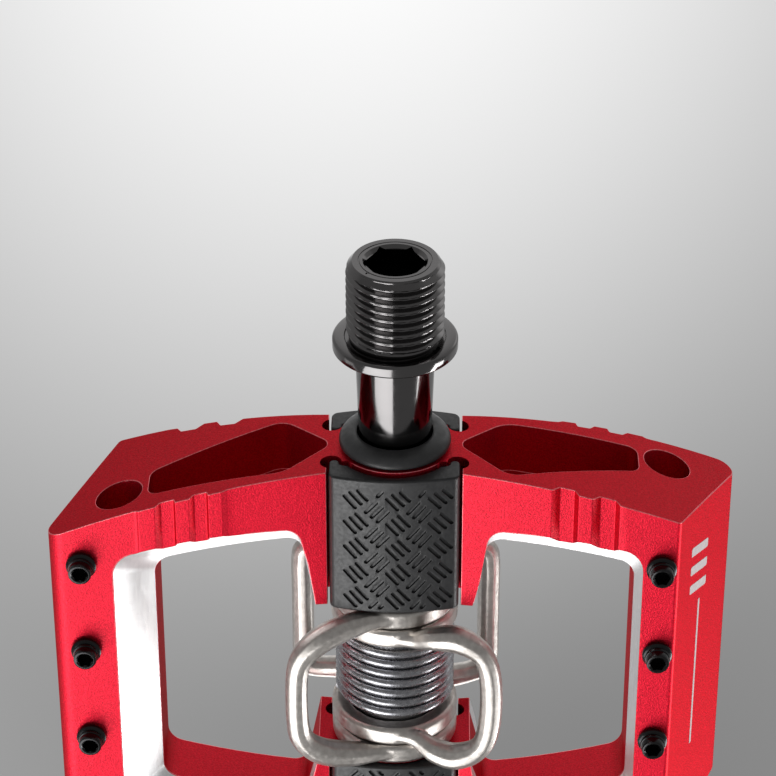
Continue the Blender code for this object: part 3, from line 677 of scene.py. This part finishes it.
def with_windows(ob):
    """Cuts the two windows and the space between the hubs, where the wings turn."""
    window = window_cutter("window")
    ob = boolean(ob, joined("windows", [window, half_turned(window)]), "DIFFERENCE")
    near, far = END_Y + BOSS_LENGTH, 2 * MID_Y - END_Y - BOSS_LENGTH
    reach = LEG_END_X + 1.5
    gap = upright("wing_space", box_outline(-reach, reach, near, far), -20.0, 20.0)
    return boolean(ob, gap, "DIFFERENCE")


def with_holes(ob):
    """Cuts the bore, the pockets and holes of both end faces, and the pins' holes."""
    ob = boolean(ob, rod("bore", (0.0, 0.0), BORE_R, 0.0, 2 * MID_Y), "DIFFERENCE")
    ob = boolean(ob, four_ways("pockets", pocket_cutter("pocket")), "DIFFERENCE")
    hole_centre = (CORNER_HOLE_X, CORNER_HOLE_Z)
    corner_hole = rod("corner_hole", hole_centre, CORNER_HOLE_R, END_Y, CORNER_HOLE_FLOOR, 64)
    ob = boolean(ob, four_ways("corner_holes", corner_hole), "DIFFERENCE")
    return boolean(ob, pin_hole_cutter(), "DIFFERENCE")


def platform():
    ob = with_holes(with_windows(platform_blank()))
    ob.data.materials.append(FINISHES["anodised_edge_painted_highlight"])
    ob = edges_broken(cleaned(ob), by_a_notch)
    # The ribs' broken edges keep the plain red, without the painted edge highlight.
    for face in ob.data.polygons:
        if face.material_index == EDGE_HIGHLIGHT_SLOT and on_the_ribs(*(face.center / MM)):
            face.material_index = 0
    return fitted(evenly_shaded(ob), "pedal_body", "body_red", "pedal_body")


# Spindle and the turned pieces


def thread_radius(y, turn):
    """A left-hand thread with flat crests and roots, which fades out by the flange and at the tip."""
    phase = (y / THREAD_PITCH + turn / math.tau) % 1.0
    slope = abs(2.0 * phase - 1.0)
    height = min(1.0, max(0.0, (slope - THREAD_ROOT_FLAT) / THREAD_FLANK))
    fade = min(1.0, max(0.0, (0.1 - y) / 0.9))
    radius = THREAD_ROOT_R + (THREAD_R - THREAD_ROOT_R) * height * fade
    tip_chamfer = THREAD_ROOT_R - 0.2 + (y - THREAD_END) * 0.9
    return min(radius, tip_chamfer)


def threaded_end(name):
    """A closed solid from the relief under the flange to the tip, with a true helix round it."""
    soup = bmesh.new()
    y_start, step = 0.15, 0.055
    count = round((y_start - THREAD_END) / step)
    rows = []
    for k in range(count + 1):
        y = y_start + (THREAD_END - y_start) * k / count
        row = []
        for i in range(AROUND):
            turn = math.tau * i / AROUND
            r = thread_radius(y, turn) if k else THREAD_ROOT_R
            row.append(soup.verts.new((r * math.sin(turn) * MM, y * MM, r * math.cos(turn) * MM)))
        rows.append(row)
    for low, high in zip(rows, rows[1:], strict=False):
        for i in range(AROUND):
            j = (i + 1) % AROUND
            soup.faces.new((low[i], low[j], high[j], high[i]))
    soup.faces.new(rows[0])
    soup.faces.new(rows[-1])
    bmesh.ops.recalc_face_normals(soup, faces=soup.faces)
    return from_soup(name, soup)


def spindle():
    bearing_low, bearing_high = BEARING_Y
    shaft = [
        (NUT_Y[1] + 0.5, 0.0),
        (NUT_Y[1] + 0.5, STUD_R - 0.3),
        (NUT_Y[1] + 0.2, STUD_R),
        (bearing_high + 0.2, STUD_R),
        (bearing_high + 0.2, BEARING_SEAT_R),
        (bearing_low - 0.3, BEARING_SEAT_R),
        (bearing_low - 0.3, WAIST_R),
        (INNER_SEAL_Y + 8.0, WAIST_R),
        (INNER_SEAL_Y + 2.0, JOURNAL_R),
        (END_Y - 1.0, JOURNAL_R),
        (END_Y - 2.0, NECK_SEAL_R),
        (FLANGE + 2.2, NECK_R - 0.05),
        (FLANGE + 1.1, NECK_R + 0.02),
        (FLANGE + 0.6, NECK_R + 0.2),
        (FLANGE + 0.25, NECK_R + 0.5),
        (FLANGE + 0.05, NECK_R + 0.95),
        (FLANGE, NECK_R + 1.4),
        (FLANGE, FLANGE_R - 0.42),
        (FLANGE - 0.08, FLANGE_R - 0.22),
        (FLANGE - 0.3, FLANGE_R - 0.02),
        (FLANGE - 0.4, FLANGE_R),
        (0.38, FLANGE_R),
        (0.3, FLANGE_R - 0.02),
        (0.07, FLANGE_R - 0.2),
        (0.0, FLANGE_R - 0.38),
        (0.0, RELIEF_R),
        (0.14, RELIEF_R - 0.14),
        (0.14, THREAD_ROOT_R + 0.2),
        (0.0, THREAD_ROOT_R - 0.6),
        (-0.2, 0.0),
    ]
    ob = boolean(turned("axle", shaft), threaded_end("thread"), "UNION")
    across = HEX_FLATS / 2 / math.cos(math.pi / 6)
    mouth = [
        (THREAD_END + 0.5, 0.0),
        (THREAD_END + 0.5, across - 0.35),
        (THREAD_END, SOCKET_MOUTH_R),
        (THREAD_END - 1.0, SOCKET_MOUTH_R + 1.0),
        (THREAD_END - 1.0, 0.0),
    ]
    ob = boolean(ob, turned("socket_mouth", mouth), "DIFFERENCE")
    floor, top = THREAD_END + 0.1, THREAD_END - 0.3
    groove = [(floor, 5.15), (floor, 5.3), (top, 5.5), (top, 4.95)]
    ob = boolean(ob, turned("ring_groove", groove, closed=True), "DIFFERENCE")
    socket = rod("hex_socket", (0.0, 0.0), across, THREAD_END - 2.0, THREAD_END + HEX_DEEP, 6)
    ob = boolean(ob, socket, "DIFFERENCE")
    dot = rod("dot", (3.9, 3.9), 0.28, THREAD_END - 1.0, THREAD_END + 0.12, 20)
    ob = boolean(ob, dot, "DIFFERENCE")
    return fitted(paint(smoothed(ob), "black_chrome"), "spindle", "spindle_black", "spindle")


def arc_profile(y_wide, y_narrow, r_wide, r_narrow, steps=14):
    """Points of a quarter ellipse from the wide end to the narrow end."""
    points = []
    for k in range(steps + 1):
        turn = math.pi / 2 * k / steps
        y = y_wide + (y_narrow - y_wide) * math.sin(turn)
        points.append((y, r_narrow + (r_wide - r_narrow) * math.cos(turn)))
    return points


def lip_seal():
    dome = arc_profile(17.75, 16.0, 8.25, 5.9)
    outside = [(21.2, 5.65), (21.2, 6.9), (18.0, 6.9), (18.0, 8.1), (17.9, 8.22)]
    profile = [*outside, *dome, (16.15, 5.62), (16.6, 5.58)]
    ob = turned("seal", profile, closed=True)
    return fitted(paint(smoothed(ob), "seal_rubber"), "pedal_body", "rubber_black", "lip_seal")


def hub_sleeve():
    low, high = SLEEVE_Y
    outer = [(high, SLEEVE_R - 0.3), (high - 0.3, SLEEVE_R), (low + 0.3, SLEEVE_R), (low, SLEEVE_R - 0.3)]
    ob = turned("sleeve", [(high, SLEEVE_BORE), *outer, (low, SLEEVE_BORE)], closed=True)
    return fitted(paint(smoothed(ob), "ground_steel"), "pedal_body", "bearing_steel", "hub_sleeve")


def end_cap():
    """A screwed cup with a hexagon in its face, flush with the outboard end, and the ring in its groove."""
    face = 2 * MID_Y - END_Y - 0.1
    cup = [
        (face, 0.0),
        (face, 4.4),
        (face - 0.12, 4.5),
        (face - 0.12, 4.8),
        (face, 4.9),
        (face, 6.5),
        (face - 0.12, 6.78),
        (face - 0.4, 6.9),
        (face - 1.2, 6.9),
        (face - 1.2, 5.9),
        (face - 2.4, 5.9),
        (face - 2.4, 6.9),
        (face - 6.4, 6.9),
        (face - 6.4, 5.5),
        (face - 2.6, 5.5),
        (face - 2.6, 0.0),
    ]
    ob = turned("cap", cup)
    ob = boolean(ob, rod("cap_hexagon", (0.0, 0.0), 3.45, face - 1.6, face + 1.0, 6), "DIFFERENCE")
    fitted(paint(smoothed(ob), "black_oxide"), "pedal_body", "cap_black", "end_cap")
    middle = face - 1.8
    ring_r, ring_thick = 6.5, 0.36
    circle = [(middle - y, ring_r - r) for y, r in round_outline(0.0, 0.0, ring_thick, 20)]
    oring = turned("cap_ring", circle, closed=True)
    fitted(paint(smoothed(oring), "seal_rubber"), "pedal_body", "rubber_black", "end_cap_oring")


# Pads


def pad_outline():
    """The (x, z) outline of a top pad, still flat: a rail down each side, and a round underside."""
    left = [
        (-PAD_RAIL_X, NOTCH_Z + 0.35, 0),
        (-PAD_RAIL_X, PAD_RAIL_Z, PAD_RAIL_R),
        (-PAD_HALF_WIDTH, PAD_RAIL_Z, PAD_RAIL_R),
        (-PAD_HALF_WIDTH, PAD_TOP_Z, PAD_EDGE_R),
    ]
    right = [(-x, z, r) for x, z, r in reversed(left)]
    under_r = HUB_R + PAD_GAP
    under = []
    for k in range(21):
        turn = math.radians(40 + 5 * k)
        under.append((under_r * math.cos(turn), under_r * math.sin(turn), 0))
    return rounded([*left, *right, *under], 8)


def crowned(ob):
    """Bends a flat pad's face down to both sides, after cutting it into narrow strips."""
    soup = bmesh.new()
    soup.from_mesh(ob.data)
    sideways = (1.0, 0.0, 0.0)
    for k in range(1, PAD_STRIPS):
        place = (PAD_HALF_WIDTH * (2 * k / PAD_STRIPS - 1) * MM, 0.0, 0.0)
        everything = [*soup.verts, *soup.edges, *soup.faces]
        bmesh.ops.bisect_plane(soup, geom=everything, dist=1e-7, plane_co=place, plane_no=sideways)
    for vert in soup.verts:
        share = min(1.0, max(0.0, (vert.co.z / MM - PAD_BEND_Z) / PAD_BEND))
        drop = (PAD_TOP_Z - PAD_EDGE_Z) * (vert.co.x / MM / PAD_HALF_WIDTH) ** 2
        vert.co.z -= share * drop * MM
    soup.to_mesh(ob.data)
    soup.free()
    return ob


def slot_outline(x, y, lean):
    """A round-ended slot's outline about (x, y), cut short by the pad's ends, or nothing past them."""
    along = Vector((math.cos(lean), math.sin(lean)))
    low, high = SLOT_Y[0] + SLOT_WIDTH / 2, SLOT_Y[1] - SLOT_WIDTH / 2
    reach = (SLOT_LENGTH - SLOT_WIDTH) / 2
    start = max(-reach, (low - y) / along.y)
    end = min(reach, (high - y) / along.y)
    if end - start < 0.1:
        return []
    points = []
    for place, first in ((end, -90), (start, 90)):
        for k in range(7):
            spoke = Vector((SLOT_WIDTH / 2, 0.0))
            spoke.rotate(Matrix.Rotation(lean + math.radians(first + 30 * k), 2))
            points.append(tuple(Vector((x, y)) + along * place + spoke))
    return points


def slot_cutters():
    """The woven pattern of slots: columns of threes that lean one way, then the other."""
    cutters = []
    for column, x in enumerate(SLOT_COLUMNS):
        even = column % 2
        lean = SLOT_LEAN if even else math.pi - SLOT_LEAN
        across = Vector((-math.sin(lean), math.cos(lean)))
        for group in range(-1, 6):
            middle = Vector((x, SLOT_FIRST_Y - (group + even / 2) * SLOT_GROUP_PITCH))
            for k in (-1, 0, 1):
                spot = middle + across * SLOT_STEP * k
                outline = slot_outline(spot.x, spot.y, lean)
                if outline:
                    cutters.append(upright("slot", outline, PAD_TOP_Z - SLOT_DEEP, PAD_TOP_Z + 1.5))
    return joined("slots", cutters)


def pads():
    ob = softened(along_y("pad", pad_outline(), PAD_START, PAD_END), PAD_RIM, 3, 50)
    ob = boolean(ob, slot_cutters(), "DIFFERENCE")
    ob = crowned(softened(cleaned(ob), SLOT_RIM, 2, 40))
    ob.name = "pad_top_crank_side"
    turned_pad = half_turned(ob)
    turned_pad.name = "pad_bottom_crank_side"
    made = {"pad_top_inboard": ob, "pad_bottom_inboard": turned_pad}
    made["pad_top_outboard"] = mirrored(ob)
    made["pad_bottom_outboard"] = mirrored(turned_pad)
    for node, pad in made.items():
        pad.name = "fine_" + node
        pad.data.shade_smooth()
        pad.data.set_sharp_from_angle(angle=math.radians(40))
        evenly_shaded(pad)
        fitted(paint(pad, "pad_plastic"), "pedal_body", "pad_black", node)


# Pins


def pins():
    """Grub screws: a flared collar on the platform, a ring, and a tip with a hexagon socket."""
    profile = [
        (PIN_PROUD, 0.0),
        (PIN_PROUD, PIN_TIP_R - 0.22),
        (PIN_PROUD - 0.06, PIN_TIP_R - 0.08),
        (PIN_PROUD - 0.22, PIN_TIP_R),
        (1.75, PIN_TIP_R),
        (1.7, PIN_TIP_R + 0.12),
        (1.45, PIN_TIP_R + 0.2),
        (1.2, PIN_TIP_R + 0.12),
        (1.1, PIN_TIP_R + 0.1),
        (0.95, PIN_COLLAR_R - 0.16),
        (0.82, PIN_COLLAR_R - 0.03),
        (0.7, PIN_COLLAR_R),
        (PIN_LIFT + 0.1, PIN_COLLAR_R),
        (PIN_LIFT, PIN_COLLAR_R - 0.1),
        (PIN_LIFT, PIN_SHANK_R),
        (-PIN_SHANK, PIN_SHANK_R),
        (-PIN_SHANK, 0.0),
    ]
    pin = turned("pin", profile, AROUND_PIN)
    over, floor = PIN_PROUD + 0.3, PIN_PROUD - PIN_MOUTH
    mouth = [(over, 0.0), (over, 1.62), (floor, 1.1), (floor, 0.0)]
    pin = boolean(pin, turned("pin_mouth", mouth, AROUND_PIN), "DIFFERENCE")
    socket = rod("pin_socket", (0.0, 0.0), PIN_SOCKET_R, PIN_PROUD - PIN_SOCKET, PIN_PROUD + 1.0, 6)
    pin = smoothed(boolean(pin, socket, "DIFFERENCE"), 30)
    for name, x, y, up in pin_places():
        stand = Matrix.Rotation(math.radians(90.0 * up), 4, "X")
        place = Matrix.Translation((x * MM, y * MM, up * half_thick(x) * MM))
        ob = moved_copy(pin, place @ stand, "_" + name)
        ob.name = "fine_" + name
        fitted(paint(ob, "black_oxide"), "pedal_body", "pin_black", name)
    bpy.data.objects.remove(pin, do_unlink=True)


# Clip wings and their spring


def smooth_path(points):
    """Points of a smooth curve through (x, y, z, thickness) points."""
    steps = 6
    out = []
    last = len(points) - 1
    for i in range(last):
        p0, p1, p2, p3 = (Vector(points[max(0, min(last, i + d))]) for d in (-1, 0, 1, 2))
        for k in range(steps):
            t = k / steps
            bend = 2 * p0 - 5 * p1 + 4 * p2 - p3
            twist = 3 * p1 - p0 - 3 * p2 + p3
            out.append((2 * p1 + (p2 - p0) * t + bend * t * t + twist * t**3) / 2)
    out.append(Vector(points[-1]))
    return out


def wire(name, points, radius):
    curve = bpy.data.curves.new(name, "CURVE")
    curve.dimensions = "3D"
    curve.bevel_depth = radius * MM
    curve.bevel_resolution = 3
    curve.use_fill_caps = True
    line = curve.splines.new("POLY")
    line.points.add(len(points) - 1)
    for point, (x, y, z, thick) in zip(line.points, points, strict=True):
        point.co = (x * MM, y * MM, z * MM, 1.0)
        point.radius = thick
    ob = bpy.data.objects.new(name, curve)
    bpy.context.scene.collection.objects.link(ob)
    return baked(ob)


def bow_path(arm, side, up):
    arm = [*arm, (BAR_X, 53.0, BAR_Z, 1.0)]
    there = [(side * x, y, up * z, thick) for x, y, z, thick in arm]
    back = [(x, 2 * MID_Y - y, z, thick) for x, y, z, thick in reversed(there)]
    return smooth_path([*there, *back])


def wing_ring(name, low, high):
    edge = 0.5
    shoulder = WING_RING_R - edge
    outer = [(high, shoulder), (high - edge, WING_RING_R), (low + edge, WING_RING_R), (low, shoulder)]
    return turned(name, [(high, WING_RING_BORE), *outer, (low, WING_RING_BORE)], closed=True)


def wing(name, ring_y, top_arm, bottom_arm, side):
    """Two rings on the sleeve and two bows, run together as one casting."""
    low, high = ring_y
    pieces = [
        wire(name + "_upper", bow_path(top_arm, side, 1.0), WING_WIRE_R),
        wire(name + "_lower", bow_path(bottom_arm, -side, -1.0), WING_WIRE_R),
        wing_ring(name + "_near", low, high),
        wing_ring(name + "_far", 2 * MID_Y - high, 2 * MID_Y - low),
    ]
    ob = joined("fine_" + name, pieces)
    skin = ob.modifiers.new("casting", "REMESH")
    skin.mode = "VOXEL"
    skin.voxel_size = WING_SKIN * MM
    skin.use_smooth_shade = True
    relax = ob.modifiers.new("relax", "SMOOTH")
    relax.factor = 0.5
    relax.iterations = 6
    ob = baked(ob, 0)
    ob.data.shade_smooth()
    return fitted(paint(ob, "cast_stainless"), name, "wing_steel", name)


def wings():
    """Arm points are (x, y, z, thickness), from the ring to the bar."""
    a_root = ((-1.5, 44.2, 8.2, 0.65), (3.0, 44.3, 8.7, 0.9), (6.8, 44.8, 9.8, 1.15))
    b_root = ((-1.5, 47.6, 8.2, 0.65), (3.0, 47.6, 9.1, 0.8), (6.4, 46.2, 10.7, 1.1))
    a_top = [*a_root, (11.0, 46.4, 11.2, 1.2), (13.7, 49.2, 11.9, 1.05)]
    b_top = [*b_root, (9.8, 45.9, 11.5, 1.2), (13.2, 48.2, 12.0, 1.0)]
    a_bottom = [*a_root, (11.0, 44.6, 11.3, 1.0), (13.9, 45.6, 12.0, 1.0), (14.5, 48.0, 12.0, 1.0)]
    b_bottom = [*b_root, (10.6, 45.2, 11.8, 1.0), (13.9, 45.6, 12.0, 1.0), (14.5, 48.0, 12.0, 1.0)]
    wing("wing_a", WING_A_RING_Y, a_top, a_bottom, 1.0)
    wing("wing_b", WING_B_RING_Y, b_top, b_bottom, -1.0)


def wing_spring():
    low, high = SPRING_Y
    per_turn = 40
    count = SPRING_TURNS * per_turn
    points = []
    for k in range(count + 1):
        turn = math.tau * k / per_turn
        y = low + (high - low) * k / count
        points.append((SPRING_R * math.cos(turn), y, SPRING_R * math.sin(turn), 1.0))
    ob = smoothed(wire("spring", points, SPRING_WIRE_R), 50)
    return fitted(paint(ob, "spring_wire"), "pedal_body", "spring_steel", "wing_spring")


# Graphic on the sloping side: a stripe and three slanted bars


def slope_place():
    """The plane of the trailing side's slope: its x runs down the slope and its y along it."""
    top = Vector((-OBTUSE_X, 0.0, half_thick(OBTUSE_X)))
    low = Vector((-ACUTE_X, 0.0, -half_thick(ACUTE_X)))
    down = (low - top).normalized()
    out = Vector((0.0, 1.0, 0.0)).cross(down).normalized()
    if out.x > 0:
        out.negate()
    place = Matrix((down, Vector((0.0, 1.0, 0.0)), out)).transposed().to_4x4()
    place.translation = (top + out * INK_LIFT) * MM
    return place


def side_graphic():
    """Thin ink on the trailing side's slope, and its half turn on the leading side."""
    place = slope_place()
    marks = []
    top, low = BAR_DOWN
    for k in range(BARS):
        y = BAR_FIRST_Y + BAR_PITCH * k
        upper = [(top, y, 0.3), (low, y + BAR_LEAN, 0.3)]
        outline = upper + [(x, edge_y + BAR_WIDE, r) for x, edge_y, r in reversed(upper)]
        marks.append(prism("bar", rounded(outline), INK_THICK, place))
    stripe = [(x, y, 0.2) for x, y in box_outline(*STRIPE_DOWN, *STRIPE_Y)]
    marks.append(prism("stripe", rounded(stripe), INK_THICK, place))
    ob = joined("side_marks", marks)
    other = half_turned(ob)
    for side, mark in (("trailing", ob), ("leading", other)):
        mark.name = "side_marks_" + side
        fitted(paint(mark, "pale_ink"), "pedal_body", "body_red")


# Stage, light and camera


def floor():
    soup = bmesh.new()
    bmesh.ops.create_grid(soup, x_segments=8, y_segments=8, size=FLOOR_REACH)
    ob = from_soup("floor", soup)
    ob.location.z = FLOOR_Z
    finish = Finish("floor_grey", (0.06, 0.06, 0.06), 0.9, 0.0)
    total = None
    for place, squeeze, reach, strength in FLOOR_GLOWS:
        both = finish.tree.nodes.new("ShaderNodeMath")
        if total:
            finish.link(total, both.inputs[0])
        else:
            both.inputs[0].default_value = FLOOR_GLOW
        finish.link(finish.pool(place, squeeze, reach, strength), both.inputs[1])
        total = both.outputs["Value"]
    finish.link(total, finish.shader.inputs["Emission Strength"])
    finish.set("Emission Color", (1.0, 1.0, 1.0, 1.0))
    ob.data.materials.append(finish.material)


def area_light(name, place, size, power):
    light = bpy.data.lights.new(name, "AREA")
    light.shape = "RECTANGLE"
    light.size, light.size_y = size
    light.energy = power
    light.spread = LIGHT_SPREAD
    ob = bpy.data.objects.new(name, light)
    back = (Vector(place) - Vector(LIGHT_AIM)).normalized()
    side = (Vector((1.0, 0.0, 0.0)) - back * back.x).normalized()
    ob.matrix_world = Matrix((side, back.cross(side), back)).transposed().to_4x4()
    ob.location = place
    ob.visible_camera = False
    bpy.context.scene.collection.objects.link(ob)


def light_and_camera():
    world = bpy.data.worlds.new("studio")
    world.use_nodes = True
    sky = world.node_tree.nodes["Background"]
    sky.inputs["Color"].default_value = (1.0, 1.0, 1.0, 1.0)
    sky.inputs["Strength"].default_value = WORLD_STRENGTH
    bpy.context.scene.world = world
    bpy.context.scene.view_settings.view_transform = "Standard"
    for name, place, size, power in LIGHTS:
        area_light(name, place, size, power)
    camera = bpy.data.cameras.new("photo_camera")
    camera.lens = CAMERA_LENS
    camera.sensor_width = CAMERA_SENSOR
    camera.clip_start = 0.01
    ob = bpy.data.objects.new("photo_camera", camera)
    right = CAMERA_FORWARD.cross(CAMERA_UP).normalized()
    up = right.cross(CAMERA_FORWARD)
    ob.matrix_world = Matrix((right, up, -CAMERA_FORWARD)).transposed().to_4x4()
    ob.location = CAMERA_PLACE
    bpy.context.scene.collection.objects.link(ob)
    bpy.context.scene.camera = ob


def build():
    paint_cad_nodes()
    platform()
    spindle()
    lip_seal()
    hub_sleeve()
    end_cap()
    pads()
    pins()
    wings()
    wing_spring()
    side_graphic()
    floor()
    light_and_camera()


build()
